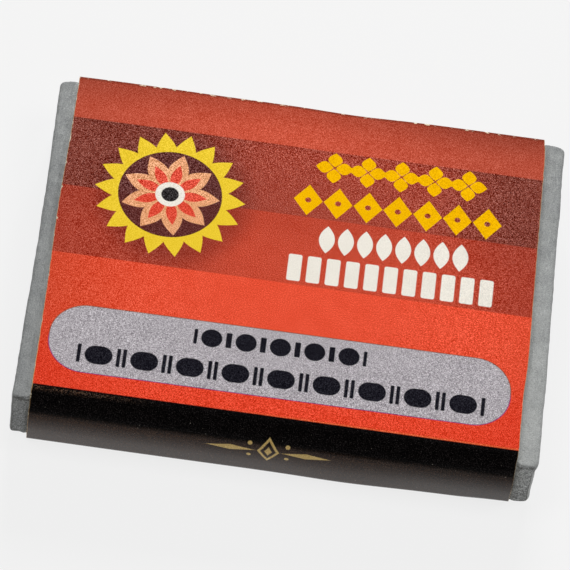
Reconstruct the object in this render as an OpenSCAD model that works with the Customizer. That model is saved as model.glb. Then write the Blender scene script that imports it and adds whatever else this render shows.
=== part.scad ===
// Kneaded eraser: a flat block of soft grey rubber putty in a printed paper sleeve.
// The sleeve is one strip of card, folded round the block and glued to itself underneath.
// It is open at both ends, where the block shows past its cut edges.
// Millimetres, +Z up. The origin is below the middle, on the surface it lies on,
// X runs along the block and the black front panel of the sleeve faces -Y.

/* [Block] */
// Length of the putty block
block_l = 47; // [44:0.5:60]
// Width of the block at its two ends
block_w = 35; // [25:0.5:50]
// Thickness of the block at its two ends
block_t = 5.7; // [4:0.1:12]
// How far the sides and the top swell between the pinched ends
block_swell = 0.25; // [0:0.05:0.4]
// How evenly the swelling is spread: a high number keeps it to the last few millimetres
swell_power = 12; // [4:1:20]
// Rounding of the block's long edges
long_edge_r = 0.45; // [0.3:0.05:1]
// Rounding of the edges round each end face
end_edge_r = 0.35; // [0.1:0.05:0.6]

/* [Sleeve] */
// Thickness of the card
card_t = 0.2; // [0.15:0.01:0.3]
// Length of the sleeve along its middle
sleeve_l = 43.4; // [30:0.1:43.8]
// How far the sleeve has slid along the block, to the right if above zero
sleeve_slide = -0.1; // [-0.4:0.05:0.4]
// How far out of square the right cut edge is, in degrees
cut_skew = 0.55; // [-0.7:0.05:0.7]
// Free space between the swollen block and each side panel
side_play = 0.05; // [0.05:0.05:0.6]
// Free space between the swollen block and the top panel
top_play = 0.45; // [0.1:0.05:2]
// Outer radius of the folds
fold_r = 0.5; // [0.35:0.05:1]
// Outer radius of the softer fold above the front panel
front_fold_r = 0.8; // [0.35:0.05:1]

/* [Glued lap] */
// Width of the strip where the two ends of the card overlap, under the block
lap_w = 8; // [4:0.5:14]
// Length of the slope by which the upper end climbs over the lower one
lap_slope = 1; // [0.6:0.1:2]

/* [Hidden] */

// Putty grey, and the red of the print
putty_grey = [0.56, 0.59, 0.58];
print_red = [0.80, 0.26, 0.18];

// The block rests on the glued lap, two thicknesses of card above the surface below
block_z = 2 * card_t;
half_l = block_l / 2;
middle_z = block_z + block_t / 2;

// Steps round each rounded edge, and along the block between its end edges
edge_steps = 5;
long_steps = 18;
flat_steps = 4;

// Outside of the folded sleeve
sleeve_y = block_w / 2 + block_swell + side_play + card_t;
sleeve_top = block_z + block_t + block_swell + top_play + card_t;
// A little more than any cut through the card needs
spare = 1;

// ---- Block ----

// Share of the full swelling at x: one in the middle, zero at the ends
function swelling(x) = 1 - pow(abs(x) / half_l, swell_power);

// A station is [x, inset]: where a cross-section lies, and how far it is drawn in.
// Round an end face the sections shrink along a quarter circle.
function end_stations(side) = [
    for (i = [0 : edge_steps])
        let (a = 90 * i / edge_steps)
        [side * (half_l - end_edge_r * (1 - sin(a))), end_edge_r * (1 - cos(a))]
];

// Between the ends the sections crowd towards the pinched ends, as a cosine does
function long_stations() = [
    for (i = [1 : long_steps - 1])
        [-cos(180 * i / long_steps) * (half_l - end_edge_r), 0]
];

function reversed(list) = [for (i = [len(list) - 1 : -1 : 0]) list[i]];

stations = concat(reversed(end_stations(-1)), long_stations(), end_stations(1));

// Quarter circle of points about [y, z], starting at the angle from
function corner(y, z, r, from) = [
    for (i = [0 : edge_steps])
        let (a = from + 90 * i / edge_steps)
        [y + r * cos(a), z + r * sin(a)]
];

// Points strictly between two corners, along a flat side
function between(p, q) = [for (i = [1 : flat_steps - 1]) p + (q - p) * i / flat_steps];

// Rounded rectangle of one station, anticlockwise as seen from +X
function block_section(x, inset) =
    let (
        half_w = block_w / 2 + block_swell * swelling(x) - inset,
        low = block_z + inset,
        high = block_z + block_t + block_swell * swelling(x) - inset,
        r = long_edge_r - inset / 2,
        c1 = corner(half_w - r, low + r, r, -90),
        c2 = corner(half_w - r, high - r, r, 0),
        c3 = corner(-half_w + r, high - r, r, 90),
        c4 = corner(-half_w + r, low + r, r, 180)
    )
    [
        for (p = concat(
            c1, between(c1[edge_steps], c2[0]),
            c2, between(c2[edge_steps], c3[0]),
            c3, between(c3[edge_steps], c4[0]),
            c4, between(c4[edge_steps], c1[0])
        ))
            [x, p[0], p[1]]
    ];

// A tube of quads through rings of points, closed by a fan of triangles at each end
module skin(rings) {
    n = len(rings[0]);
    last = len(rings) - 1;
    first_middle = n * (last + 1);
    last_middle = first_middle + 1;
    points = concat(
        [for (ring = rings) each ring],
        [[rings[0][0][0], 0, middle_z], [rings[last][0][0], 0, middle_z]]
    );
    walls = [
        for (i = [0 : last - 1], j = [0 : n - 1])
            let (a = i * n + j, b = i * n + (j + 1) % n)
            each [[a, b + n, b], [a, a + n, b + n]]
    ];
    fans = [
        for (j = [0 : n - 1])
            let (k = (j + 1) % n)
            each [[first_middle, j, k], [last_middle, last * n + k, last * n + j]]
    ];
    polyhedron(points, concat(walls, fans));
}

module eraser_block() {
    color(putty_grey) skin([for (s = stations) block_section(s[0], s[1])]);
}

// ---- Sleeve ----

// Rounded rectangle between y = -half_w and half_w, from low to high.
// The front top corner has its own radius.
module fold_outline(half_w, low, high, r, front_r) {
    difference() {
        translate([-half_w, low]) square([2 * half_w, high - low]);
        corner_waste(half_w, low, r, 1, -1);
        corner_waste(half_w, high, r, 1, 1);
        corner_waste(-half_w, low, r, -1, -1);
        corner_waste(-half_w, high, front_r, -1, 1);
    }
}

// What a fold of radius r leaves out at the corner [y, z], which points along [sy, sz]
module corner_waste(y, z, r, sy, sz) {
    difference() {
        translate([y - (sy > 0 ? r : spare), z - (sz > 0 ? r : spare)]) square(r + spare);
        translate([y - sy * r, z - sz * r]) circle(r, $fn = 64);
    }
}

// The upper end of the card, which climbs over the lower one and lies on it
module upper_end() {
    polygon([
        [-lap_w / 2, 0],
        [-lap_w / 2, 2 * card_t],
        [lap_w / 2 + card_t, 2 * card_t],
        [lap_w / 2 + lap_slope, card_t],
        [lap_w / 2 + lap_slope, 0]
    ]);
}

// The groove that this leaves below, beside the lower end's cut edge
module lap_groove() {
    polygon([
        [lap_w / 2, -spare],
        [lap_w / 2, card_t],
        [lap_w / 2 + card_t, card_t],
        [lap_w / 2 + lap_slope, 0],
        [lap_w / 2 + lap_slope, -spare]
    ]);
}

// Cross-section of the sleeve: one wall of card all round, two at the glued lap
module sleeve_section() {
    difference() {
        fold_outline(sleeve_y, 0, sleeve_top, fold_r, front_fold_r);
        difference() {
            fold_outline(
                sleeve_y - card_t, card_t, sleeve_top - card_t,
                fold_r - card_t, front_fold_r - card_t
            );
            upper_end();
        }
        lap_groove();
    }
}

// Outline of the sleeve from above, with its right cut edge out of square
module sleeve_plan() {
    left = sleeve_slide - sleeve_l / 2;
    right = sleeve_slide + sleeve_l / 2;
    reach = sleeve_y + spare;
    lean = reach * tan(cut_skew);
    polygon([[left, -reach], [right + lean, -reach], [right - lean, reach], [left, reach]]);
}

module folded_card() {
    intersection() {
        translate([-half_l, 0, 0]) rotate([90, 0, 90]) linear_extrude(block_l) sleeve_section();
        translate([0, 0, -spare]) linear_extrude(sleeve_top + 2 * spare) sleeve_plan();
    }
}

module paper_sleeve() {
    color(print_red) folded_card();
}

eraser_block();
paper_sleeve();
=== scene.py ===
# %% [markdown]
# # A kneaded eraser in its paper sleeve
# The real thing is two pieces: a flat block of grey rubber putty, and one strip of light card
# that is printed, folded round the block and glued to itself underneath. The block is soft, so
# its edges are a little rounded and its ends are pinched. The card is stiff and thin, so it
# keeps flat panels between its folds and stands a little clear of the block.
#
# Lengths below are in millimetres, because that is how one thinks of a thing this small. They
# become metres only when a mesh is made.

# %% Load the fixed frame
import math

import bmesh
import bpy
import numpy as np
from mathutils import Matrix, Vector


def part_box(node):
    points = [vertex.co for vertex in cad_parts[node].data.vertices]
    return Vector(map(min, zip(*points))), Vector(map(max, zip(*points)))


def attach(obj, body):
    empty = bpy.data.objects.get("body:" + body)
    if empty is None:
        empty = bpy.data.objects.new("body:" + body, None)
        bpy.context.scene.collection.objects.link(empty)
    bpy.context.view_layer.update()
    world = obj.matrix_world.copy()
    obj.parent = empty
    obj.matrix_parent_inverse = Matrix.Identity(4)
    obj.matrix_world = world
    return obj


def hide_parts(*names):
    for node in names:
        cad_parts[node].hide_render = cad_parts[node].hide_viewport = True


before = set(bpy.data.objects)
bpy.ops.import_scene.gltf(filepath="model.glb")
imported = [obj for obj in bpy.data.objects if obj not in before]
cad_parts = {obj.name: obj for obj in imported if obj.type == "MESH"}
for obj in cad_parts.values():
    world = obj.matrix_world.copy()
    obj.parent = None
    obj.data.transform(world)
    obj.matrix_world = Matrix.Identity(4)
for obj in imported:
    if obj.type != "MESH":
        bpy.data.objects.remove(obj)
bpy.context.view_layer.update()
MM = 0.001
block_low, block_high = (np.array(corner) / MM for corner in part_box("eraser_block"))
sleeve_low, sleeve_high = (np.array(corner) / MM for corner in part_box("paper_sleeve"))
print("block from", block_low.round(2), "to", block_high.round(2), "mm")
print("sleeve from", sleeve_low.round(2), "to", sleeve_high.round(2), "mm")

# %% [markdown]
# ## The camera
# A small thing is best seen from a distance through a long lens, which keeps its sides nearly
# parallel. The camera looks down steeply on the long front side and is rolled a little, so that
# the eraser seems to slope down to the right. Its three directions are worked out from azimuth,
# elevation and roll, and become the columns of its rotation matrix.

# %% Camera
AIM = np.array([-0.57, 2.51, 0.0])
AZIMUTH = math.radians(-1.42)
ELEVATION = math.radians(55.42)
ROLL = math.radians(8.86)
DISTANCE = 491.0
LENS = 337.7


def camera_axes(azimuth, elevation, roll):
    """Right, up and backward directions: level ones first, then turned by roll about the view."""
    back = np.array([
        math.sin(azimuth) * math.cos(elevation),
        -math.cos(azimuth) * math.cos(elevation),
        math.sin(elevation),
    ])
    level = np.array([math.cos(azimuth), math.sin(azimuth), 0.0])
    above = np.cross(back, level)
    right = level * math.cos(roll) + above * math.sin(roll)
    return right, np.cross(back, right), back


def add_camera():
    """A camera whose local X, Y and Z are the right, up and backward directions."""
    axes = camera_axes(AZIMUTH, ELEVATION, ROLL)
    camera = bpy.data.objects.new("camera", bpy.data.cameras.new("camera"))
    camera.data.lens = LENS
    camera.data.clip_start = 0.01
    place = Matrix([list(axis) for axis in axes]).transposed().to_4x4()
    place.translation = Vector((AIM + axes[2] * DISTANCE) * MM)
    camera.matrix_world = place
    bpy.context.scene.collection.objects.link(camera)
    return camera


bpy.context.scene.camera = add_camera()
bpy.context.scene.view_settings.view_transform = "Standard"
print("camera at", [round(v, 3) for v in bpy.context.scene.camera.location], "m")

# %% [markdown]
# ## Light and floor
# Soft boxes are area lights: the larger they are, the softer the shadow. Two hang high to the
# left and right and a stronger one stands behind, so the black front mirrors no lamp but the
# bright floor. The one behind is kept out of reflections, or the top would look washed out from
# low in front. The floor glows by itself, like white paper on a light table, which keeps the
# shadow faint. It is clear from below, and the surroundings are pale only to the camera.

# %% Lamps, floor and surroundings
FLOOR_GLOW = 0.81
FLOOR_DROP = 0.02
FLOOR_HALF = 1500


def add_soft_box(name, place, size, power, tint=(1.0, 1.0, 1.0)):
    """A square area light at place, in millimetres, turned towards the eraser."""
    lamp = bpy.data.lights.new(name, "AREA")
    lamp.size = size * MM
    lamp.energy = power
    lamp.color = tint
    holder = bpy.data.objects.new(name, lamp)
    holder.location = Vector(place) * MM
    holder.rotation_euler = Vector(place).to_track_quat("Z", "Y").to_euler()
    bpy.context.scene.collection.objects.link(holder)
    return holder


def plain_floor_material():
    """Matt white paper that glows a little, and that is clear when seen from below."""
    material = bpy.data.materials.new("white_paper_floor")
    material.use_nodes = True
    shader = material.node_tree.nodes["Principled BSDF"]
    shader.inputs["Base Color"].default_value = (0.1, 0.1, 0.1, 1.0)
    shader.inputs["Roughness"].default_value = 1.0
    shader.inputs["Specular IOR Level"].default_value = 0.0
    shader.inputs["Emission Color"].default_value = (1.0, 1.0, 1.0, 1.0)
    shader.inputs["Emission Strength"].default_value = FLOOR_GLOW
    tree = material.node_tree
    below = tree.nodes.new("ShaderNodeNewGeometry").outputs["Backfacing"]
    clear = tree.nodes.new("ShaderNodeBsdfTransparent").outputs[0]
    either = tree.nodes.new("ShaderNodeMixShader")
    for number, socket in enumerate((below, shader.outputs[0], clear)):
        tree.links.new(socket, either.inputs[number])
    tree.links.new(either.outputs[0], tree.nodes["Material Output"].inputs["Surface"])
    return material


def add_floor(half_size):
    """A square sheet a hair below the eraser's underside, so that the two don't coincide."""
    mesh = bpy.data.meshes.new("floor")
    corners = [((x * half_size + 300) * MM, (y * half_size - 200) * MM, -FLOOR_DROP * MM)
               for x, y in ((-1, -1), (1, -1), (1, 1), (-1, 1))]
    mesh.from_pydata(corners, [], [(0, 1, 2, 3)])
    mesh.materials.append(plain_floor_material())
    floor = bpy.data.objects.new("floor", mesh)
    bpy.context.scene.collection.objects.link(floor)


add_soft_box("right_box", (250, 0, 450), 200, 0.78)
add_soft_box("left_box", (-240, 0, 450), 200, 0.6)
add_soft_box("back_box", (0, 450, 220), 160, 2.46).visible_glossy = False
add_floor(FLOOR_HALF)
world = bpy.data.worlds.new("dim_studio")
world.use_nodes = True
tree = world.node_tree
backdrop = tree.nodes.new("ShaderNodeMix")
backdrop.data_type = "RGBA"
backdrop.inputs[6].default_value = (0.035, 0.035, 0.035, 1.0)
backdrop.inputs[7].default_value = (0.9, 0.9, 0.9, 1.0)
tree.links.new(tree.nodes.new("ShaderNodeLightPath").outputs["Is Camera Ray"], backdrop.inputs[0])
tree.links.new(backdrop.outputs[2], tree.nodes["Background"].inputs["Color"])
bpy.context.scene.world = world

# %% [markdown]
# ## Turning arrays into meshes
# Every surface here is a grid of points worked out in one go with numpy. A grid that closes on
# itself one way is a tube, so its last column is joined to its first. The faces are made from
# index arrays too, and all numbers go into the mesh at once. Where a tube's last ring shrinks to
# a line, its doubled points are merged, which leaves a closed solid.

# %% Mesh helpers
def grid_faces(rows, columns, wrap=False):
    """Four corner indices of every cell of a grid of points, numbered row by row."""
    index = np.arange(rows * columns).reshape(rows, columns)
    if wrap:
        index = np.concatenate([index, index[:, :1]], axis=1)
    corners = (index[:-1, :-1], index[:-1, 1:], index[1:, 1:], index[1:, :-1])
    return np.stack(corners, axis=-1).reshape(-1, 4)


def new_piece(name, points, faces, sharp_angle):
    """A mesh object from points in millimetres and four-cornered faces, smooth but for sharp bends."""
    mesh = bpy.data.meshes.new(name)
    mesh.from_pydata((points * MM).tolist(), [], faces.tolist())
    mesh.shade_smooth()
    mesh.set_sharp_from_angle(angle=math.radians(sharp_angle))
    piece = bpy.data.objects.new(name, mesh)
    bpy.context.scene.collection.objects.link(piece)
    return piece


def close_seams(piece, distance):
    """Merges points closer than this many millimetres, so that a tube whose last ring has shrunk
    to a line becomes a closed solid. Faces left without area go with them."""
    work = bmesh.new()
    work.from_mesh(piece.data)
    bmesh.ops.remove_doubles(work, verts=work.verts, dist=distance * MM)
    bmesh.ops.dissolve_degenerate(work, edges=work.edges, dist=distance * MM / 10)
    work.to_mesh(piece.data)
    work.free()


def keep_number(piece, name, values):
    """Stores one number for each vertex, for the materials to read."""
    attribute = piece.data.attributes.new(name, "FLOAT", "POINT")
    attribute.data.foreach_set("value", values.astype(np.float32))


def keep_flat_map(piece, name, flat):
    """Stores a flat position for each vertex as a UV map, in tenths of a metre."""
    corner_vertex = np.empty(len(piece.data.loops), dtype=np.int32)
    piece.data.loops.foreach_get("vertex_index", corner_vertex)
    layer = piece.data.uv_layers.new(name=name)
    layer.data.foreach_set("uv", (flat[corner_vertex] / 100.0).astype(np.float32).ravel())


def ripple(points, length, seed, count=24):
    """Gentle unevenness between about -1 and 1: a sum of sine waves of about the given length,
    each with its own random direction and phase."""
    draw = np.random.default_rng(seed)
    directions = draw.normal(size=(count, points.shape[-1]))
    directions /= np.linalg.norm(directions, axis=1, keepdims=True)
    lengths = length * draw.uniform(0.7, 1.5, size=(count, 1))
    phases = draw.uniform(0.0, 2.0 * np.pi, size=count)
    waves = points @ (2.0 * np.pi * directions / lengths).T
    return np.sin(waves + phases).sum(axis=-1) * math.sqrt(2.0 / count) / 2.0


# %% [markdown]
# ## The sleeve's cross-section
# Cut across, the sleeve is one line of card that starts at its lower end under the block, turns
# four times and ends on top of its own start, where it is glued. The line below is the middle of
# the card's thickness. Flat stretches are rows of evenly spaced points, and sharp folds are
# quarter circles. Where the upper end climbs on to the lower one, it takes a smooth step.
#
# The front isn't folded sharply: the card is bent round the block and stands off it like a
# bow. Such a line is easiest to give by how far it has turned after each stretch of its length.
# Its points are then the running sum of many short straight steps, each in its own direction.

# %% Card line
CARD = 0.2
LAP = 8.0
LAP_SLOPE = 1.0
GLUE = 0.02
BOTTOM_FOLD = 0.6
BACK_FOLD = 0.55
BEND_START = 16.42
LENGTHS = (0.0, 1.2, 2.8, 3.38, 4.25, 5.32, 6.3, 7.4, 8.27)
SLOPES = (90.0, 37.8, 28.6, 5.0, -4.0, -9.6, -11.4, -11.6, -90.0)
half_width = (sleeve_high[1] - sleeve_low[1] - CARD) / 2
rise = sleeve_high[2] - CARD / 2
floor_line = CARD / 2


def smooth_step(t):
    """Goes from 0 to 1 as t does, level at both ends: three t squared less two t cubed."""
    t = np.clip(t, 0.0, 1.0)
    return t * t * (3.0 - 2.0 * t)


def straight(start, end, spacing=0.45):
    """Points from start up to, but not including, end."""
    steps = max(2, int(np.hypot(*np.subtract(end, start)) / spacing))
    t = np.arange(steps)[:, None] / steps
    return np.array(start) * (1 - t) + np.array(end) * t


def fold(centre, radius, start_angle, steps=12):
    """A quarter turn clockwise about centre, as seen from the right end, without its last point."""
    angle = np.radians(start_angle - 90.0 * np.arange(steps) / steps)
    return np.stack([centre[0] + radius * np.cos(angle), centre[1] + radius * np.sin(angle)], axis=1)


def lap_climb(start, end, steps=8):
    """A smooth step from one height to another, without its last point."""
    t = np.arange(steps) / steps
    y = start[0] + (end[0] - start[0]) * t
    return np.stack([y, start[1] + (end[1] - start[1]) * smooth_step(t)], axis=1)


def bent_front(steps=72):
    """The bow of the front, from the underside up to the red face. The slope is the tilt of the
    card's outer side above level, so each step goes along minus its sine and minus its cosine.
    The line is scaled a little so that it reaches the underside exactly."""
    along = np.linspace(0.0, LENGTHS[-1], steps)
    slope = np.radians(np.interp(along, LENGTHS, SLOPES))
    slope = (slope[1:] + slope[:-1]) / 2
    moves = -np.stack([np.sin(slope), np.cos(slope)], axis=1) * (along[1] - along[0])
    points = np.concatenate([np.zeros((1, 2)), np.cumsum(moves, axis=0)])
    points *= (rise - floor_line) / -points[-1, 1]
    return (points + (-BEND_START, rise))[:0:-1]


def card_line():
    """The middle line of the card, from its lower end round to its upper end."""
    bottom, back = BOTTOM_FOLD - CARD / 2, BACK_FOLD - CARD / 2
    y, low, high = half_width, floor_line, rise
    front = bent_front()
    return np.concatenate([
        straight((LAP / 2, low), front[0]),
        front,
        straight((-BEND_START, high), (y - back, high)),
        fold((y - back, high - back), back, 90),
        straight((y, high - back), (y, low + bottom)),
        fold((y - bottom, low + bottom), bottom, 0),
        straight((y - bottom, low), (LAP / 2 + LAP_SLOPE, low)),
        lap_climb((LAP / 2 + LAP_SLOPE, low), (LAP / 2, low + CARD + GLUE)),
        straight((LAP / 2, low + CARD + GLUE), (-LAP / 2, low + CARD + GLUE)),
        [(-LAP / 2, low + CARD + GLUE)],
    ])


line = card_line()
steps_along = np.hypot(*np.diff(line, axis=0).T)
travelled = np.concatenate([[0.0], np.cumsum(steps_along)])
on_top = line[:, 1] > rise - 0.01
top_middle = np.interp(0.0, line[on_top][:, 0], travelled[on_top])
unrolled = travelled - top_middle
print("the strip is", round(travelled[-1], 1), "mm long before folding, with", len(line), "points")

# %% [markdown]
# ## From a line to a sheet of card
# The sheet has two sides. Each is the line moved outwards or inwards by half a thickness, along
# the direction square to the line, and carried along the block. Four narrow rims join the sides:
# the two cut ends of the sleeve and the two ends of the strip. The card isn't perfect: the front
# bows outwards, the back sags in, the top is very slightly arched, both cuts bow by a fraction of
# a millimetre, and the right one is a little out of square. A thin gap for the glue is left at
# the lap, so that the sheet never cuts through itself.
#
# Unrolled, the sheet is flat again, and that flat position is its UV map: how far along the
# block, and how far round from the middle of the red face. The print is laid out on it.

# %% Sleeve surface
STATIONS = 130
FRONT_BOW = 0.08
FRONT_BULGE = 0.15
END_TUCK = 0.25
BACK_SAG = 0.16
TOP_ARCH = 0.06
EDGE_WOBBLE = 0.02
cut_lean = math.tan(math.radians(0.55))
cut_right_middle = sleeve_high[0] - cut_lean * sleeve_high[1]
cut_left = sleeve_low[0] - 0.07


def outward(line):
    """Direction square to the line and to its left, from the step between its neighbours."""
    step = np.gradient(line, axis=0)
    step /= np.linalg.norm(step, axis=1, keepdims=True)
    return np.stack([-step[:, 1], step[:, 0]], axis=1)


def bell(x, middle, reach):
    """A smooth hump of height 1: e to the power of minus the square of the distance."""
    return np.exp(-((x - middle) / reach) ** 2)


def front_bow(x, z):
    """How far the front stands out: one minus the square of the distance from the middle, with a
    hump right of it, both fading upwards. The lower right corner is tucked in instead."""
    along = 1.0 - (x / sleeve_high[0]) ** 2
    bow = (FRONT_BOW * along + FRONT_BULGE * bell(x, 7.0, 5.0)) * (1.0 - smooth_step(z / rise))
    return bow - END_TUCK * (1.0 - smooth_step(z / 0.9)) * smooth_step((x - 16.5) / 5.0)


def back_sag(x):
    """How far the back leans in: a hollow right of the middle and a slight swell at the left."""
    return BACK_SAG * bell(x, 4.0, 4.2) - 0.08 * bell(x, -17.0, 6.0)


def eased(points):
    """The small bends of real card: the bow of the front, the sag of the back, and a very slight
    arch of the red face, highest in its middle."""
    x, y, z = points[..., 0], points[..., 1], points[..., 2]
    along = 1.0 - (x / sleeve_high[0]) ** 2
    front = smooth_step((-y - half_width * 0.7) / (half_width * 0.3))
    back = smooth_step((y - half_width * 0.6) / (half_width * 0.4))
    y = y - front_bow(x, z) * front - back_sag(x) * back
    z = z + TOP_ARCH * smooth_step(z / rise) * along * (1.0 - (y / half_width) ** 2)
    return np.stack([x, y, z], axis=-1)


def cut_ends(section):
    """Where the two cuts through the card are at each point of its line. Both bow outwards by a
    fraction of a millimetre on the red face, the right one is out of square, and both wobble."""
    wobble = EDGE_WOBBLE * ripple(unrolled[:, None], 1.3, 5)
    left = cut_left + wobble - 0.14 * bell(unrolled, 3.0, 6.0)
    full = smooth_step((unrolled + 11.0) / 4.0) * smooth_step((18.5 - unrolled) / 3.0)
    right = cut_right_middle - cut_lean * section[:, 0] - np.roll(wobble, 37) + 0.2 * full
    return left, right - 0.1 * smooth_step((-unrolled - 16.3) / 2.0)


def sheet_side(offset):
    """One side of the card, and how far each point is from the sheet's nearest edge. Rows follow
    the folded line. Columns run along the block, a little crowded towards the two cuts."""
    section = line + offset * outward(line)
    even = np.linspace(0.0, 1.0, STATIONS)
    crowded = (1.0 - np.cos(np.pi * even)) / 2.0
    share = 0.6 * even + 0.4 * crowded
    left, right = cut_ends(section)
    x = left[:, None] + (right - left)[:, None] * share[None, :]
    y = np.broadcast_to(section[:, :1], x.shape)
    z = np.broadcast_to(section[:, 1:], x.shape)
    gap = np.minimum(x - left[:, None], right[:, None] - x)
    gap = np.minimum(gap, np.minimum(travelled, travelled[-1] - travelled)[:, None])
    return eased(np.stack([x, y, z], axis=-1)), gap


def build_sleeve():
    """Outer side, inner side and the four rims between them, as one closed mesh."""
    outer, gap = sheet_side(CARD / 2)
    inner, _ = sheet_side(-CARD / 2)
    rows, columns = outer.shape[:2]
    count = rows * columns
    index = np.arange(count).reshape(rows, columns)
    outer_faces = grid_faces(rows, columns)
    inner_faces = grid_faces(rows, columns)[:, ::-1] + count
    border = np.concatenate([index[0, :-1], index[:-1, -1], index[-1, :0:-1], index[:0:-1, 0]])
    following = np.roll(border, -1)
    rim_faces = np.stack([border + count, following + count, following, border], axis=1)
    points = np.concatenate([outer.reshape(-1, 3), inner.reshape(-1, 3)])
    faces = np.concatenate([outer_faces, inner_faces, rim_faces])
    piece = new_piece("printed_sleeve", points, faces, 40)
    slots = np.repeat([0, 1], [len(outer_faces), len(inner_faces) + len(rim_faces)])
    piece.data.polygons.foreach_set("material_index", slots.astype(np.int32))
    flat = np.stack([outer[..., 0], np.broadcast_to(unrolled[:, None], gap.shape)], axis=-1)
    keep_flat_map(piece, "unrolled", np.tile(flat.reshape(-1, 2), (2, 1)))
    keep_number(piece, "cut_gap", np.tile(gap.ravel(), 2))
    return piece


sleeve = build_sleeve()
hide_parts("paper_sleeve")
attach(sleeve, "root")
print("sleeve mesh has", len(sleeve.data.polygons), "faces")

# %% [markdown]
# ## The block of putty
# The block is a rounded rectangle carried along its length, like a bar of soap. Towards its ends
# the rectangle gets a little smaller, because the putty was pinched where it was cut. Past the
# last station the rings keep shrinking on the flat end face, until they close in the middle.
# Shallow ripples, worked out from sine waves, take away the look of a machined part. Inside the
# sleeve the putty takes the shape of the bent card, and beyond it the soft ends spread freely.

# %% Block sizes
SWELL = 0.25
SWELL_POWER = 50
LONG_EDGE = 0.3
END_EDGE = 0.3
FACE_RINGS = 20
HAIR = 0.03
half_length = block_high[0]
half_block = block_high[1] - SWELL
block_floor = block_low[2]
block_thick = block_high[2] - block_low[2] - SWELL


def rounded_rectangle(half_w, low, high, radius):
    """Points of rounded rectangles, anticlockwise as seen from the right end. All sizes are
    arrays with one entry for each ring, and every ring has its points at the same shares."""
    corner_steps, side_steps, end_steps = 10, 230, 40
    turn = np.arange(corner_steps) / corner_steps * np.pi / 2
    half_w, low, high, radius = (v[:, None] for v in (half_w, low, high, radius))

    def quarter(cy, cz, start):
        return cy + radius * np.cos(start + turn), cz + radius * np.sin(start + turn)

    def side(y0, z0, y1, z1, steps):
        t = np.arange(steps) / steps
        return y0 + (y1 - y0) * t, z0 + (z1 - z0) * t

    right, left = half_w - radius, radius - half_w
    bottom, top = low + radius, high - radius
    parts = [
        quarter(right, bottom, -np.pi / 2), side(half_w, bottom, half_w, top, end_steps),
        quarter(right, top, 0.0), side(right, high, left, high, side_steps),
        quarter(left, top, np.pi / 2), side(-half_w, top, -half_w, bottom, end_steps),
        quarter(left, bottom, np.pi), side(left, low, right, low, side_steps),
    ]
    y = np.concatenate([part[0] + 0 * half_w for part in parts], axis=1)
    z = np.concatenate([part[1] + 0 * half_w for part in parts], axis=1)
    return y, z


def ring_places():
    """For each ring, its x and how far it is drawn in: round the end faces, then along the block."""
    shrink = np.linspace(1.0, 0.0, FACE_RINGS, endpoint=False) * (block_thick / 2 - END_EDGE) + END_EDGE
    turn = np.linspace(np.pi / 2, 0.0, 8, endpoint=False)
    edge_x = half_length - END_EDGE * (1 - np.sin(turn))
    edge_in = END_EDGE * (1 - np.cos(turn))
    body = half_length - END_EDGE
    near = body - 3.0 * (1 - np.cos(np.linspace(0.0, np.pi / 2, 22, endpoint=False)))
    far = np.linspace(near[-1] - 0.4, 0.0, 24)
    x = np.concatenate([np.full(FACE_RINGS, half_length), edge_x, near, far])
    inset = np.concatenate([shrink, edge_in, np.zeros(len(near) + len(far))])
    x = np.concatenate([-x, x[-2::-1]])
    return x, np.concatenate([inset, inset[-2::-1]])


def block_points():
    """Rings of points, each a rounded rectangle at its own x, with its own swelling and inset."""
    x, inset = ring_places()
    swelling = SWELL * (1.0 - (np.abs(x) / half_length) ** SWELL_POWER)
    low = block_floor + inset
    high = block_floor + block_thick + swelling - inset
    high = np.maximum(high, low)
    half_w = half_block + swelling - inset
    radius = np.clip(LONG_EDGE - inset / 2, 0.0, (high - low) / 2)
    y, z = rounded_rectangle(half_w, low, high, radius)
    return np.stack([np.broadcast_to(x[:, None], y.shape), y, z], axis=-1)


def edge_gap(points):
    """How far each point is from the nearest edge of the block: the middle one of its distances
    to the three pairs of faces, because an edge is where two faces meet."""
    middle = np.array([0.0, 0.0, block_floor + block_thick / 2])
    half = np.array([half_length, half_block + SWELL / 2, block_thick / 2])
    gaps = np.sort(np.abs(half - np.abs(points - middle)), axis=-1)
    return gaps[..., 1]


def flank_share(points):
    """One on the two long cut faces and nought on the others: on a flank, the distance to it is
    the smallest of the three."""
    middle = np.array([0.0, 0.0, block_floor + block_thick / 2])
    half = np.array([half_length, half_block + SWELL / 2, block_thick / 2 + SWELL / 2])
    gaps = np.abs(half - np.abs(points - middle))
    return smooth_step((np.minimum(gaps[..., 0], gaps[..., 2]) - gaps[..., 1]) / 0.12 + 0.5)


def worn(points):
    """The soft surface: broad dents, small ripples and nicks along the edges, all of them fading
    out where it lies on the card."""
    inward = points - np.array([0.0, 0.0, block_floor + block_thick / 2])
    direction = inward / np.array([half_length, half_block, block_thick / 2])
    direction = direction ** 7
    direction /= np.linalg.norm(direction, axis=-1, keepdims=True) + 1e-9
    free = smooth_step((points[..., 2:] - block_floor) / 0.6)
    dents = 0.035 * ripple(points, 5.0, 11) + 0.018 * ripple(points, 1.1, 12)
    nicks = 0.06 * np.maximum(ripple(points, 0.5, 13) - 0.4, 0.0) * np.exp(-edge_gap(points) / 0.25)
    return points + direction * free * (dents - 0.04 - nicks)[..., None]


def past_card(x, y):
    """How far a point is beyond the cut end of the sleeve on its side, negative within it."""
    card_end = np.where(x < 0.0, -cut_left, cut_right_middle - cut_lean * y)
    return np.abs(x) - card_end


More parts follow.
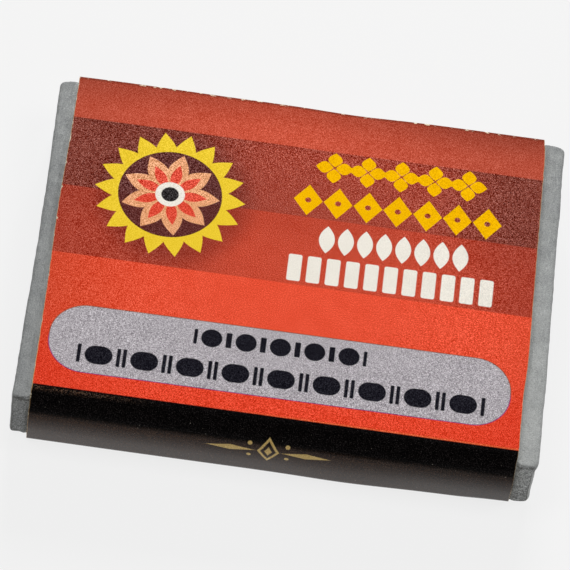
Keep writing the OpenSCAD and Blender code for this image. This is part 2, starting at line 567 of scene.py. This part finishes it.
def held(points):
    """Within the sleeve the putty takes the card's shape: it is kept a hair's breadth inside the
    inner side of the bent front and of the back, and above the lap."""
    x, y, z = points[..., 0], points[..., 1], points[..., 2]
    inner = line - CARD / 2 * outward(line)
    bend = (line[:, 1] > floor_line + 0.01) & (line[:, 0] < -BEND_START)
    front = np.interp(z, inner[bend, 1], inner[bend, 0]) - front_bow(x, z)
    back = half_width - CARD / 2 - back_sag(x)
    share = smooth_step((0.27 - past_card(x, y)) / 0.18)
    y_kept = y + (np.clip(y, front + HAIR, back - HAIR) - y) * share
    z_kept = np.maximum(z, block_floor + GLUE + HAIR * share)
    return np.stack([x, y_kept, z_kept], axis=-1)


def spread(points):
    """Beyond the sleeve the putty is free and a little wider. The left end is slightly hollow, has
    lost its lower front corner, and its lower front edge is raised. The right end leans out
    towards the front, where it is undercut down to a small lip at the foot."""
    x, y, z = points[..., 0], points[..., 1], points[..., 2]
    past = past_card(x, y)
    bare = smooth_step((past - 0.02) / 0.2)
    side = smooth_step((np.abs(y) - 16.0) / 1.4)
    foot = 1.0 - smooth_step((z - 3.5) / 2.5)
    front_wider = np.where(x < 0.0, 0.2 * bell(past, 0.1, 0.4) * foot - 0.04, 0.12)
    y_moved = y + np.sign(y) * bare * side * np.where(y > 0.0, 0.07, front_wider)
    end = smooth_step((np.abs(x) - 20.0) / 3.4)
    low = 1.0 - smooth_step((z - block_floor) / 3.0)
    hollow = 0.1 * (1.0 - (y / half_block) ** 2) - 0.04 - 0.1 * smooth_step((y - 8.0) / 8.0)
    lip = smooth_step((2.6 - z) / 2.2) * smooth_step((-y - 16.3) / 0.8)
    undercut = smooth_step((-y - 12.5) / 2.5) * (1.0 - lip) * smooth_step((5.9 - z) / 1.3)
    lean = (0.26 * smooth_step((half_block - y) / 30.0) + 0.05 * bell(y, 9.0, 8.0)) * (1.0 - 0.7 * low)
    lean = lean - 0.2 * undercut - 0.14 * smooth_step((-y - 16.8) / 0.7)
    x_moved = x + end * np.where(x < 0.0, hollow, lean)
    lost = 1.0 - (x_moved + half_length) / 0.25 - (z - block_floor) / 0.45
    lost = np.maximum(lost + 0.1 * ripple(points, 0.6, 14), 0.0) * smooth_step((-y - 16.2) / 1.0)
    raised = smooth_step((x + half_length) / 1.5) * smooth_step((-x - 20.0) / 1.0)
    raised = raised * smooth_step((-y - 16.0) / 1.2) * (1.0 - smooth_step((z - block_floor) / 1.5))
    return np.stack([x_moved + 0.16 * lost, y_moved, z + 0.36 * raised], axis=-1)


def build_block():
    """A tube of rings that closes at both ends, with its doubled points merged."""
    points = block_points()
    rings, around = points.shape[:2]
    gap, flank = edge_gap(points), flank_share(points)
    shaped = held(spread(worn(points))).reshape(-1, 3)
    piece = new_piece("putty_block", shaped, grid_faces(rings, around, True), 180)
    keep_number(piece, "edge_gap", gap.ravel())
    keep_number(piece, "flank", flank.ravel())
    close_seams(piece, 0.001)
    return piece


block = build_block()
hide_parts("eraser_block")
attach(block, "root")
print("block mesh has", len(block.data.polygons), "faces")

# %% [markdown]
# ## Writing shader formulas like sums
# A printed pattern is arithmetic: how far is this point from the edge of that shape? In a node
# tree each sum is a Math node, and a pattern takes dozens of them. A small class makes them
# readable. A Wire is the output of some node, and adding, multiplying or comparing wires adds
# the right Math node and gives back its output.

# %% Wires
def add_node(tree, kind, inputs=None, **settings):
    """Adds a node. In inputs, a wire is linked to its socket and anything else is set on it."""
    node = tree.nodes.new(kind)
    for name, value in settings.items():
        setattr(node, name, value)
    for key, value in (inputs or {}).items():
        if isinstance(value, Wire):
            tree.links.new(value.socket, node.inputs[key])
        else:
            node.inputs[key].default_value = value
    return node


class Wire:
    """The output of a node, which can be reckoned with like a number."""

    def __init__(self, socket):
        self.socket = socket
        self.tree = socket.id_data

    def math(self, operation, *others):
        """A Math node of this operation on this wire and the others."""
        inputs = dict(enumerate((self, *others)))
        return Wire(add_node(self.tree, "ShaderNodeMath", inputs, operation=operation).outputs[0])

    def __add__(self, other):
        return self.math("ADD", other)

    def __sub__(self, other):
        return self.math("SUBTRACT", other)

    def __mul__(self, other):
        return self.math("MULTIPLY", other)

    def __truediv__(self, other):
        return self.math("DIVIDE", other)

    def __rsub__(self, other):
        return self * -1.0 + other

    def __abs__(self):
        return self.math("ABSOLUTE")

    def __rtruediv__(self, other):
        return self.math("POWER", -1.0) * other

    __radd__ = __add__

    def stretch(self, factor):
        """This vector, made longer by a factor."""
        inputs = {0: self, "Scale": factor}
        return Wire(add_node(self.tree, "ShaderNodeVectorMath", inputs, operation="SCALE").outputs[0])

    def ramp(self, start, end):
        """Goes from 0 at start to 1 at end, level at both ends. Start may be above end."""
        inputs = {"Value": self, "From Min": start, "From Max": end}
        settings = {"interpolation_type": "SMOOTHSTEP", "clamp": True}
        return Wire(add_node(self.tree, "ShaderNodeMapRange", inputs, **settings).outputs[0])


def shift(vector, offset):
    """A vector moved by an offset, which may be another wire."""
    inputs = {0: vector, 1: offset}
    return Wire(add_node(vector.tree, "ShaderNodeVectorMath", inputs, operation="ADD").outputs[0])


def mixed(share, first, second, how="MIX"):
    """A colour that goes from the first to the second as share goes from 0 to 1."""
    settings = {"data_type": "RGBA", "blend_type": how, "clamp_factor": True}
    inputs = {0: share, 6: first, 7: second}
    tree = next(part.tree for part in (share, first, second) if isinstance(part, Wire))
    return Wire(add_node(tree, "ShaderNodeMix", inputs, **settings).outputs[2])


def ink(red, green, blue):
    """A colour as screens and paint boxes give it, from 0 to 255, made linear for the shader."""
    share = np.array([red, green, blue]) / 255.0
    linear = np.where(share <= 0.04045, share / 12.92, ((share + 0.055) / 1.055) ** 2.4)
    return (*linear.tolist(), 1.0)


def new_group(name, inputs, outputs):
    """An empty node group with named sockets, and a wire for each of its inputs."""
    tree = bpy.data.node_groups.new(name, "ShaderNodeTree")
    for socket, (kind, value) in inputs.items():
        made = tree.interface.new_socket(socket, in_out="INPUT", socket_type="NodeSocket" + kind)
        if value is not None:
            made.default_value = value
    for socket, kind in outputs.items():
        tree.interface.new_socket(socket, in_out="OUTPUT", socket_type="NodeSocket" + kind)
    source = tree.nodes.new("NodeGroupInput")
    return tree, {socket: Wire(source.outputs[socket]) for socket in inputs}


def use_group(tree, group, **inputs):
    """Places a group in a tree and gives the wires of its outputs by name."""
    node = tree.nodes.new("ShaderNodeGroup")
    node.node_tree = group
    for name, value in inputs.items():
        socket = node.inputs[name.replace("_", " ").capitalize()]
        if isinstance(value, Wire):
            tree.links.new(value.socket, socket)
        else:
            socket.default_value = value
    return {socket.name: Wire(socket) for socket in node.outputs}


def place_here(tree):
    """Where a point is on the object, in metres."""
    return Wire(add_node(tree, "ShaderNodeTexCoord").outputs["Object"])


def cloud(where, size, detail=2.0, output=0):
    """Soft noise between 0 and 1 whose blotches are about size across, in millimetres."""
    inputs = {"Vector": where, "Scale": 1.0 / (size * MM), "Detail": detail}
    return Wire(add_node(where.tree, "ShaderNodeTexNoise", inputs).outputs[output])


# %% [markdown]
# ## Two effects that several finishes share
# Print on card is made of tiny dots of ink, so a field of one colour is never quite even. The
# first group breaks a colour up with fine noise. Edges wear first: the second group gives a
# mask that is 1 near an edge, with a ragged border. Both are node groups, built once, because
# the card and the putty use them with values of their own.

# %% Shared node groups
EVEN_POWER = 2.2


def build_speckle():
    """A fine noise and a broad one are added to the colour. That is done on the values that the
    eye finds even, the linear ones to the power of 1 / 2.2, and then undone."""
    tree, given = new_group(
        "speckle",
        {"Colour": ("Color", None), "Fine": ("Float", 0.2), "Broad": ("Float", 0.1)},
        {"Colour": "Color"},
    )
    here = place_here(tree)
    dots = (cloud(here, 0.072, 1.0) - 0.5) * given["Fine"]
    blotch = (cloud(here, 1.6, 3.0) - 0.5) * given["Broad"]
    even = Wire(add_node(tree, "ShaderNodeGamma", {0: given["Colour"], 1: 1 / EVEN_POWER}).outputs[0])
    noisy = shift(shift(even, dots), blotch)
    noisy = Wire(add_node(tree, "ShaderNodeVectorMath", {0: noisy, 1: (0.0, 0.0, 0.0)},
                          operation="MAXIMUM").outputs[0])
    result = Wire(add_node(tree, "ShaderNodeGamma", {0: noisy, 1: EVEN_POWER}).outputs[0])
    add_node(tree, "NodeGroupOutput", {"Colour": result})
    return tree


def build_edge_wear():
    """One where the gap to an edge is less than reach times a ragged noise."""
    tree, given = new_group(
        "edge_wear",
        {"Gap": ("Float", 1.0), "Reach": ("Float", 0.1), "Patch": ("Float", 0.5)},
        {"Mask": "Float"},
    )
    here = place_here(tree)
    ragged = cloud(here.stretch(1.0 / given["Patch"]), 1.0, 2.0).ramp(0.35, 0.75)
    mask = (given["Gap"] / (given["Reach"] * ragged + 0.001)).ramp(1.25, 0.75)
    add_node(tree, "NodeGroupOutput", {"Mask": mask})
    return tree


speckle = build_speckle()
edge_wear = build_edge_wear()
print("shared groups:", speckle.name, edge_wear.name)

# %% [markdown]
# ## Shapes of ink
# Each printed shape is a distance: negative inside, positive outside, nought on its outline.
# A narrow ramp across nought turns it into a mask. A row of like motifs needs only one of them:
# the position along the row is wrapped, so that each point finds itself beside its own motif.

# %% Motifs
EDGE = 0.045


def inside(distance, soft=EDGE):
    """One inside a shape and nought outside, from its distance in millimetres."""
    return distance.ramp(soft, -soft)


def length(u, v):
    """The hypotenuse: the root of u squared plus v squared."""
    return (u * u + v * v).math("SQRT")


def slab(u, v, half_u, half_v, corner):
    """Distance to a rectangle with rounded corners."""
    beyond_u = (abs(u) - (half_u - corner)).math("MAXIMUM", 0.0)
    beyond_v = (abs(v) - (half_v - corner)).math("MAXIMUM", 0.0)
    return length(beyond_u, beyond_v) - corner


def lozenge(u, v, half_u, half_v):
    """Distance to a lozenge: the two shares of its half sizes add up to one on its outline."""
    slope = half_u * half_v / math.hypot(half_u, half_v)
    return (abs(u) / half_u + abs(v) / half_v - 1.0) * slope


def in_row(u, pitch, count):
    """Position beside the nearest of count motifs, spaced by pitch and centred on nought."""
    last = (count - 1) / 2
    nearest = (u / pitch + last).math("ROUND").math("MAXIMUM", 0.0).math("MINIMUM", 2 * last)
    return u - (nearest - last) * pitch


def petal(u, v, petals, start, end, fullness):
    """Distance to a ring of petals: in each one's own sector, its width is a sine wave that
    starts and ends at nought."""
    sector = 2.0 * math.pi / petals
    angle = v.math("ARCTAN2", u)
    own = angle - (angle / sector).math("ROUND") * sector
    reach = length(u, v)
    along = reach * own.math("COSINE")
    share = ((along - start) / (end - start)).math("MAXIMUM", 0.0).math("MINIMUM", 1.0)
    width = (share * math.pi).math("SINE") * fullness
    beyond = (start - along).math("MAXIMUM", along - end).math("MAXIMUM", 0.0)
    return abs(reach * own.math("SINE")) - width + beyond


# %% [markdown]
# ## The print
# The red face is four bands of warm red, each paler in the middle than at the cut ends, over a
# strip of black that runs round the front fold. A grey field with round ends lies across the
# lowest band. The ornaments are plain ones from any box of printer's flowers: a rosette, rows of
# small flowers, lozenges, leaves and bars, beads, and a small diamond on the front.
#
# Bands are laid one over another, from the back edge to the front. All places are millimetres on
# the flat sheet, measured from the middle of the red face. The borders of the bands lean a very
# little, each by its own slope. Each band is given by its border, its lean, the centre of its
# paler part with the distances where that ends and begins, and its two colours.

# %% Colours and places of the print
BANDS = (
    (None, 0.0, (-3.0, 24.0, 0.0), ink(190, 82, 61), ink(211, 88, 64)),
    (13.15, 0.0018, (3.5, 16.0, 6.0), ink(129, 56, 43), ink(167, 65, 47)),
    (5.47, 0.0028, (3.5, 17.0, 7.0), ink(176, 65, 46), ink(206, 75, 51)),
    (-2.0, 0.0062, (2.5, 27.0, 13.0), ink(216, 75, 47), ink(241, 84, 55)),
)
FRONT_RED = (ink(230, 60, 34), ink(238, 69, 41))
UNDER_RED = ink(176, 66, 47)
BLACK = ink(4, 2, 2)
# painted reflection: the warm tint that the lower front's sheen mirrors, painted into the black
PAINTED_SHEEN_BROWN = ink(46, 24, 8)
YELLOW = ink(254, 191, 0)
BADGE_YELLOW = ink(248, 212, 54)
CREAM = ink(249, 243, 231)
GREY = ink(180, 174, 179)
GOLD = ink(214, 182, 112)
CUT_BROWN = ink(200, 158, 104)
CARD_CORE = ink(226, 214, 186)
LEAN_START = 20.0


def flat_place(height):
    """How far round the sheet from the middle of the red face the front is at this height."""
    front = (line[:, 1] > floor_line + 0.01) & (line[:, 0] < -BEND_START)
    return float(np.interp(height, line[front, 1], unrolled[front]))


FOOT = flat_place(floor_line + 0.02)


def back_fold(v):
    """One on the back fold and nought beside it."""
    return v.ramp(17.4, 17.6) * v.ramp(18.7, 18.4)


def red_bands(x, v):
    """The four bands, each mixed from its colour at the ends and its colour in the middle. They
    darken towards the back, more so at the right end, and in a thin line just under the second
    border. The last one reddens towards the front, and the underside is duller. The back fold is
    worn, and is painted dark as shade where the card turns away from the light."""
    colour = None
    for border, lean, (centre, far, near), at_ends, at_middle in BANDS:
        band = mixed(abs(x - centre).ramp(far, near), at_ends, at_middle)
        past = v + (x + LEAN_START) * lean - (border or 0.0)
        colour = band if colour is None else mixed(inside(past, 0.08), colour, band)
    depth = x.ramp(2.0, 20.0) * 0.12 + 0.36
    third = v + (x + LEAN_START) * BANDS[2][1]
    shade = 1.0 - depth * v.ramp(14.0, 19.0) - third.ramp(0.5, 5.0) * third.ramp(5.5, 5.4) * 0.1
    second = v + (x + LEAN_START) * BANDS[1][1]
    shade = shade - second.ramp(12.6, 13.1) * second.ramp(13.2, 13.1) * 0.12
    colour = mixed(1.0, colour, shade, "MULTIPLY")
    front = mixed(abs(x).ramp(22.0, 14.0), FRONT_RED[0], FRONT_RED[1])
    colour = mixed(v.ramp(-6.0, -15.0) * 0.85, colour, front)
    colour = mixed(v.ramp(FOOT - 0.5, FOOT - 2.0) * 0.6, colour, UNDER_RED)
    # painted shade on a worn fold: the back fold is darkened where the card turns away from the light
    return mixed(back_fold(v) * 0.75, colour, ink(104, 38, 18))


def grey_field(colour, x, v):
    """The rounded field with its two rows of beads, and the two thin fringes that inks printed
    out of line leave. Also gives a mask of the field, below nought on the beads, for the grain."""
    side = v + 11.0
    gap = slab(x + 0.25, side, 20.75, 3.55, 3.3)
    fringe = mixed(side.ramp(-0.5, 0.5), ink(140, 50, 120), ink(150, 86, 60))
    field = inside(gap)
    colour = mixed(inside(gap - 0.08), colour, fringe)
    colour = mixed(field, colour, GREY)
    u = in_row(x + 0.4, 3.1, 5)
    row = inside(slab(u, v + 9.15, 0.95, 0.95, 0.94))
    row = row.math("MAXIMUM", inside(slab(abs(u) - 1.45, v + 9.15, 0.16, 0.8, 0.1)))
    u = in_row(x, 4.1, 9)
    row = row.math("MAXIMUM", inside(slab(u, v + 12.55, 1.25, 0.98, 0.97)))
    row = row.math("MAXIMUM", inside(slab(abs(u) - 1.78, v + 12.55, 0.17, 0.98, 0.1)))
    return mixed(row, colour, ink(27, 26, 34)), field - row * 1.7


def rosette(colour, x, v):
    """A flower with three rings of petals, over its own soft shadow."""
    u, w = x + 12.1, v - 5.9
    shadow = (length(u - 0.5, w + 0.5)).ramp(8.2, 5.6) * 0.35
    colour = mixed(shadow, colour, ink(60, 20, 20))
    shapes = (
        (petal(u, w, 18, 2.0, 6.9, 1.05), BADGE_YELLOW),
        (length(u, w) - 5.15, BADGE_YELLOW),
        (length(u, w) - 4.75, ink(96, 44, 40)),
        (petal(u, w, 9, 0.6, 4.55, 0.95), ink(240, 170, 122)),
        (petal(u, w, 9, 0.6, 3.4, 0.5), ink(232, 78, 56)),
        (length(u, w) - 1.35, CREAM),
        (length(u, w) - 0.8, ink(40, 36, 36)),
    )
    for distance, paint in shapes:
        colour = mixed(inside(distance), colour, paint)
    return colour


def leaf(u, v, half_u, half_v):
    """Distance to an upright leaf, whose half width is a parabola that ends at its tips."""
    return abs(u) - (1.0 - (v / half_v) * (v / half_v)) * half_u


def yellow_and_cream_rows(colour, x, v):
    """Two yellow rows, of small flowers and of lozenges, and two cream ones, of leaves and of
    bars, all centred on one line."""
    u = x - 8.7
    own, w = in_row(u, 3.1, 5), v - 11.3
    flower = petal(own, w, 4, 0.1, 1.72, 0.66)
    flower = flower.math("MINIMUM", length(in_row(u, 3.1, 4), w) - 0.3)
    colour = mixed(inside(flower), colour, YELLOW)
    own, w = in_row(u, 2.75, 7), v - 7.35
    tile = lozenge(own, w, 1.33, 1.72)
    tile = tile.math("MAXIMUM", 0.22 - length(own, w) * 0.8)
    colour = mixed(inside(tile), colour, YELLOW)
    leaves = leaf(in_row(u, 1.75, 8), v - 3.2, 0.72, 1.5)
    colour = mixed(inside(leaves), colour, CREAM)
    bars = slab(in_row(u, 1.75, 11), v + 0.3, 0.62, 1.45, 0.2)
    return mixed(inside(bars), colour, CREAM)


def front_strip(colour, x, v, here):
    """Black from the red face round the bend, and the gold ornament. Below the bend the black is
    painted warm brown, as the tint that its sheen reflects, less so at the right end. At the left
    a speckled brown highlight is painted on the bend, at the right a thin orange line is left
    uncovered above the black, and a few pale specks have stuck to it."""
    border = v + 16.51 + x * 0.0048
    ends = v.ramp(FOOT - 1.45, FOOT - 1.35)
    colour = mixed(inside(border, 0.06) * ends, colour, BLACK)
    # painted reflection: below the bend the black is painted warm brown, less so at the right end
    thin = mixed(x.ramp(4.0, 19.0) * 0.35, PAINTED_SHEEN_BROWN, BLACK)
    colour = mixed(v.ramp(flat_place(5.35), flat_place(4.75)) * ends, colour, thin)
    left = x.ramp(-10.0, -18.0)
    # painted highlight: a speckled brown glint on the bend just under the border, at the left end
    brown_line = (border + 0.75).ramp(0.0, 0.45) * (border + 0.16).ramp(0.08, -0.08) * left * 0.8
    brown_line = brown_line * cloud(here, 0.13, 2.0).ramp(0.42, 0.66)
    colour = mixed(brown_line, colour, ink(100, 73, 56))
    uncovered = abs(border - 0.07).ramp(0.09, 0.04) * x.ramp(-8.0, 6.0) * 0.5
    colour = mixed(uncovered, colour, ink(240, 128, 72))
    specks = cloud(here, 0.14, 0.0).ramp(0.83, 0.88) * inside(border + 1.0)
    colour = mixed(specks * 0.3, colour, ink(190, 180, 165))
    u, w = x + 0.3, v - flat_place(4.4)
    gold = inside(lozenge(u, w, 1.0, 1.5)) * lozenge(u, w, 0.66, 1.0).ramp(0.0, 0.12)
    gold = gold.math("MAXIMUM", inside(lozenge(u, w, 0.35, 0.55)))
    arm = abs(u) - 3.4
    gold = gold.math("MAXIMUM", inside(lozenge(arm, w, 2.2, 0.34)))
    gold = gold.math("MAXIMUM", inside(length(abs(u) - 1.7, abs(w) - 0.75) - 0.2))
    return mixed(gold, colour, GOLD)


# %% [markdown]
# ## Printed card
# Ink on thin card has a soft gloss and little bumps from the fibres. The card's core is pale. It
# shows as a thin line wherever the ink has chipped at a cut edge, and as flakes on the worn back
# fold, which is also rougher. The grain is strong in the dark bands and calmer on pale motifs.

# %% Card materials
def new_material(name):
    """A material with node tree, and its Principled shader."""
    material = bpy.data.materials.new(name)
    material.use_nodes = True
    return material, material.node_tree, material.node_tree.nodes["Principled BSDF"]


def plug(shader, name, wire):
    """Links a wire to a socket of a shader."""
    shader.id_data.links.new(wire.socket, shader.inputs[name])


def bumped(tree, height, depth, strength=1.0):
    """The normal that a height between 0 and 1 gives, for bumps of this depth in millimetres."""
    inputs = {"Height": height, "Distance": depth * MM, "Strength": strength}
    return Wire(add_node(tree, "ShaderNodeBump", inputs).outputs[0])


def attribute(tree, name):
    """A number kept on the mesh."""
    return Wire(add_node(tree, "ShaderNodeAttribute", attribute_name=name).outputs["Fac"])


def printed_material():
    """Ink on card, in the order in which it was printed, with wear last."""
    material, tree, shader = new_material("inked_card")
    flat = Wire(add_node(tree, "ShaderNodeUVMap", uv_map="unrolled").outputs[0])
    parts = add_node(tree, "ShaderNodeSeparateXYZ", {0: flat})
    x = Wire(parts.outputs[0]) * 100.0
    v = Wire(parts.outputs[1]) * 100.0
    colour = red_bands(x, v)
    colour, field = grey_field(colour, x, v)
    colour = rosette(colour, x, v)
    colour = yellow_and_cream_rows(colour, x, v)
    here = place_here(tree)
    colour = front_strip(colour, x, v, here)
    grain = 0.6 + v.ramp(13.2, 13.1) * 0.8 - v.ramp(5.5, 5.4) * 0.45 - v.ramp(-1.95, -2.05) * 0.2
    channels = add_node(tree, "ShaderNodeSeparateColor", {0: colour})
    pale = Wire(channels.outputs["Green"]).ramp(0.44, 0.5)
    grain = (grain + field * 0.4) * (1.0 - pale * 0.65)
    colour = use_group(tree, speckle, colour=colour, fine=grain, broad=0.06)["Colour"]
    cut_gap = attribute(tree, "cut_gap")
    burr = x.ramp(0.0, -20.0) * v.ramp(-6.0, -14.0)
    brown_line = cut_gap.ramp(0.07, 0.02) * 0.45 + (cut_gap / (burr * 0.06 + 0.015)).ramp(1.3, 0.8) * 0.45
    colour = mixed(brown_line * (v.ramp(-17.3, -16.8) * 0.6 + 0.4), colour, CUT_BROWN)
    reach = cloud(here, 0.8, 2.0).ramp(0.53, 0.66) * (x.ramp(14.0, -14.0) * 0.11 + 0.03) + 0.01
    chipped = use_group(tree, edge_wear, gap=cut_gap, reach=reach, patch=0.3)["Mask"]
    colour = mixed(chipped * 0.85, colour, CARD_CORE)
    flakes = cloud(here, 0.5, 3.0).ramp(0.56, 0.64) * abs(v - 17.75).ramp(0.24, 0.1)
    colour = mixed(flakes * 0.8, colour, CARD_CORE)
    fibres = cloud(here, 0.12, 2.0)
    plug(shader, "Base Color", colour)
    plug(shader, "Roughness", fibres * 0.08 + back_fold(v) * 0.76 + 0.14)
    plug(shader, "Normal", bumped(tree, fibres, 0.008))
    shader.inputs["Specular IOR Level"].default_value = 0.172
    return material


def bare_card_material():
    """The unprinted side and the cut edges: pale grey board with short darker fibres."""
    material, tree, shader = new_material("bare_card")
    here = place_here(tree)
    fibres = cloud(here, 0.22, 4.0)
    colour = mixed(fibres.ramp(0.3, 0.7), ink(206, 196, 172), ink(233, 226, 206))
    colour = use_group(tree, speckle, colour=colour, fine=0.1, broad=0.08)["Colour"]
    plug(shader, "Base Color", colour)
    plug(shader, "Roughness", fibres * 0.15 + 0.75)
    plug(shader, "Normal", bumped(tree, fibres, 0.02))
    return material


for material in (printed_material(), bare_card_material()):
    sleeve.data.materials.append(material)
print("card finishes:", [m.name for m in sleeve.data.materials])

# %% [markdown]
# ## Putty
# Kneading rubber is matt, mottled where it was folded into itself, and picks up pale crumbs and
# dark dust, mostly along its edges.

# %% Putty material
def putty_material():
    """Mottled grey with a fine grain, pale streaks and dusty edges. Painted shade darkens the left
    end and the back of the right end, whose front is painted paler, and a painted highlight lifts
    the card's shadow right beside the sleeve. The two long flanks were cut with a coarser blade, so
    they are speckled; painted shade makes them darker, with a dark band along their edges."""
    material, tree, shader = new_material("kneaded_putty")
    here = place_here(tree)
    parts = add_node(tree, "ShaderNodeSeparateXYZ", {0: here})
    x, y, z = (Wire(output) for output in parts.outputs)
    flank = attribute(tree, "flank")
    mottle = cloud(here, 1.8, 4.0)
    colour = mixed(mottle.ramp(0.25, 0.75), ink(147, 149, 149), ink(166, 168, 167))
    drawn = add_node(tree, "ShaderNodeVectorMath", {0: here, 1: (1.0, 0.14, 1.0)}, operation="MULTIPLY")
    streaks = cloud(Wire(drawn.outputs[0]), 0.14, 2.0).ramp(0.54, 0.7)
    colour = mixed(streaks * 0.45 * (1.0 - flank), colour, ink(188, 191, 189))
    flecks = cloud(here, 0.45, 1.0).ramp(0.78, 0.83)
    colour = mixed(flecks * 0.6, colour, ink(208, 206, 198))
    # painted shade: the left end is painted darker, most at its front, as the side away from the main
    # light
    painted_left_shade = x.ramp(-0.012, -0.022) * y.ramp(0.03, -0.004)
    colour = mixed(painted_left_shade * 0.32, colour, ink(96, 98, 100))
    # painted light and shade: the right end is painted paler towards the front and darker towards the
    # back
    colour = mixed(x.ramp(0.012, 0.022) * y.ramp(0.014, -0.018) * 0.45, colour, ink(180, 182, 180))
    colour = mixed(x.ramp(0.012, 0.022) * y.ramp(-0.002, 0.014) * 0.14, colour, ink(96, 98, 100))
    # painted highlight: the putty right beside each cut end of the sleeve is painted paler, much more
    # at the left, to lift the shadow that the card casts there
    painted_highlight = x.ramp(-0.02235, -0.02195) * x.ramp(0.0, -0.001) * 0.6
    painted_highlight = (painted_highlight + (x + y * 0.0096).ramp(0.0221, 0.0218) * x.ramp(0.0, 0.001) * 0.12) * (1.0 - flank)
    colour = mixed(1.0, colour, painted_highlight + 1.0, "MULTIPLY")
    # painted shade: the two long flanks are painted darker in blotches, and more so towards the bottom
    painted_flank_shade = cloud(here, 0.28, 2.0).ramp(0.4, 0.6) * 0.7 + z.ramp(0.004, 0.0) * 0.5
    colour = mixed(painted_flank_shade * flank, colour, ink(121, 122, 121))
    crumbs = cloud(here, 0.16, 1.0)
    colour = mixed(crumbs.ramp(0.6, 0.7) * flank * 0.6, colour, ink(176, 178, 176))
    colour = mixed(crumbs.ramp(0.4, 0.3) * flank * 0.6, colour, ink(70, 70, 68))
    colour = use_group(tree, speckle, colour=colour, fine=flank * 0.6 + 0.45, broad=0.08)["Colour"]
    edge = attribute(tree, "edge_gap")
    reach = flank * (x.ramp(0.0, -0.01) * 0.3 + 0.15) + 0.12
    dusty = use_group(tree, edge_wear, gap=edge, reach=reach, patch=0.3)["Mask"]
    # dust along the edges, and painted shade: a dark band along the edges of the flanks, fainter at
    # their top edge, in the dust's colour
    border = edge.ramp(0.28, 0.12) * flank * (z.ramp(0.0062, 0.0056) * 0.55 + 0.2)
    colour = mixed((dusty * 0.55).math("MAXIMUM", border), colour, ink(60, 57, 50))
    grain = cloud(here, 0.3, 4.0)
    plug(shader, "Base Color", colour)
    plug(shader, "Roughness", mottle * 0.2 + 0.62)
    plug(shader, "Normal", bumped(tree, grain, 0.03))
    shader.inputs["Specular IOR Level"].default_value = 0.3
    return material


block.data.materials.append(putty_material())
print("block finish:", block.data.materials[0].name)
